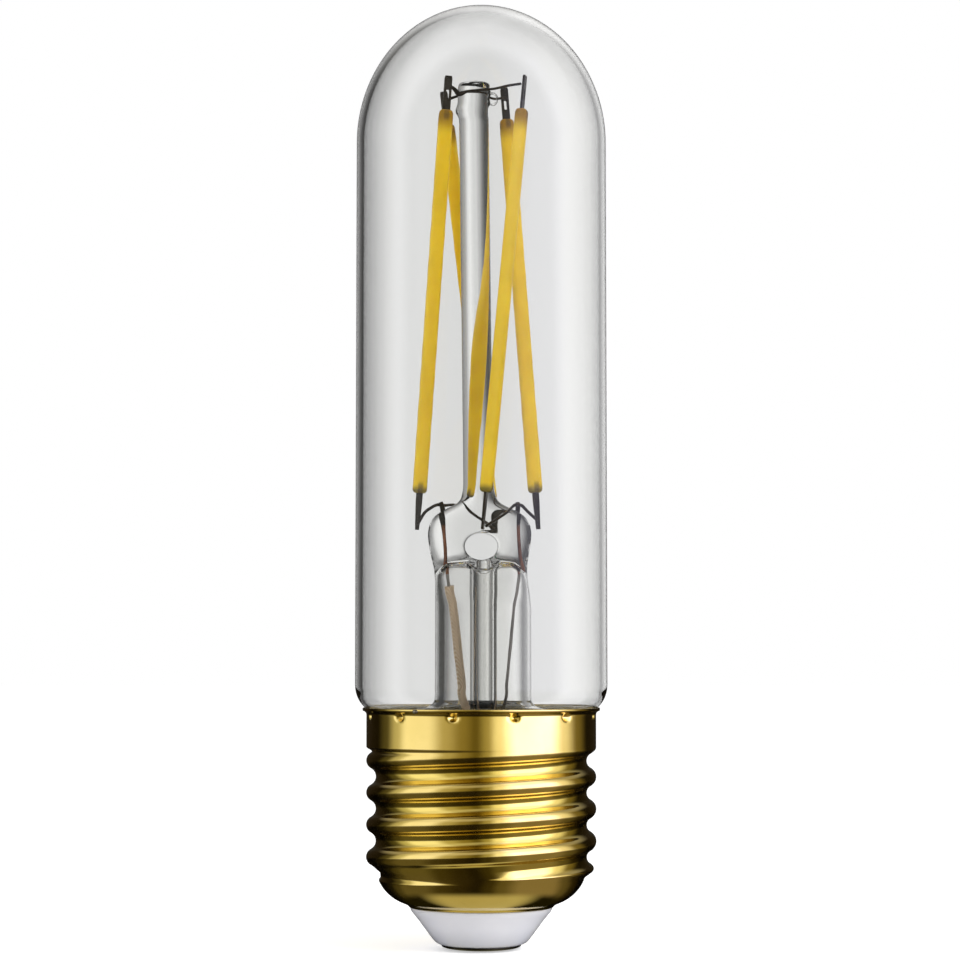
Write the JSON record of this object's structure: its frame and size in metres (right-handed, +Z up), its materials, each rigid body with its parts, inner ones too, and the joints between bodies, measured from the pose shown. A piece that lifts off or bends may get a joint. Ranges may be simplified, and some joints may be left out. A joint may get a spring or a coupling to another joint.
{
  "type": "filament light bulb",
  "caption": "Clear tubular screw-base bulb: slanted yellow LED filaments round a glass stem, leads sealed in its pinch, driver in a brass threaded cap.",
  "frame": {"origin": "middle of the flat of the centre contact, the lowest point of the bulb", "axes": "+Z up the bulb's axis from the contact to the crown of the glass; -Y is the side that shows the broad face of the stem's pinch"},
  "size_m": [0.0286, 0.0286, 0.1079],
  "materials": {
    "envelope_glass": "clear blown glass",
    "stem_glass": "clear pressed and drawn glass",
    "phosphor": "yellow phosphor in silicone, satin",
    "tab_metal": "dark flat steel",
    "nickel_wire": "drawn wire, heat-darkened",
    "dumet_wire": "copper-red borated wire",
    "tinned_copper": "tinned wire",
    "sleeve": "woven glass-fibre sleeve, tan",
    "brass": "rolled sheet, bright",
    "insulator": "moulded, glossy off-white",
    "contact": "pressed, dull",
    "board": "green laminate",
    "epoxy": "black moulded package",
    "capacitor": "shrunk sleeve on a can",
    "resistor": "lacquered body"
  },
  "bodies": {
    "root": {"glass_envelope": "envelope_glass", "stem_glass": "stem_glass", "exhaust_tube": "stem_glass", "filament_1": "phosphor", "filament_2": "phosphor", "filament_3": "phosphor", "filament_4": "phosphor", "filament_1_top_tab": "tab_metal", "filament_2_top_tab": "tab_metal", "filament_3_top_tab": "tab_metal", "filament_4_top_tab": "tab_metal", "filament_1_foot_tab": "tab_metal", "filament_2_foot_tab": "tab_metal", "filament_3_foot_tab": "tab_metal", "filament_4_foot_tab": "tab_metal", "front_bridge_wire": "nickel_wire", "back_bridge_wire": "nickel_wire", "left_cross_wire": "nickel_wire", "right_cross_wire": "nickel_wire", "left_sealing_wire": "dumet_wire", "right_sealing_wire": "dumet_wire", "left_outer_lead": "tinned_copper", "right_outer_lead": "tinned_copper", "insulating_sleeve": "sleeve", "screw_shell": "brass", "cap_insulator": "insulator", "centre_contact": "contact", "driver_board": "board", "bridge_rectifier": "epoxy", "driver_chip": "epoxy", "smoothing_capacitor": "capacitor", "fusible_resistor": "resistor", "contact_lead": "tinned_copper", "side_lead": "tinned_copper"}
  },
  "joints": []
}
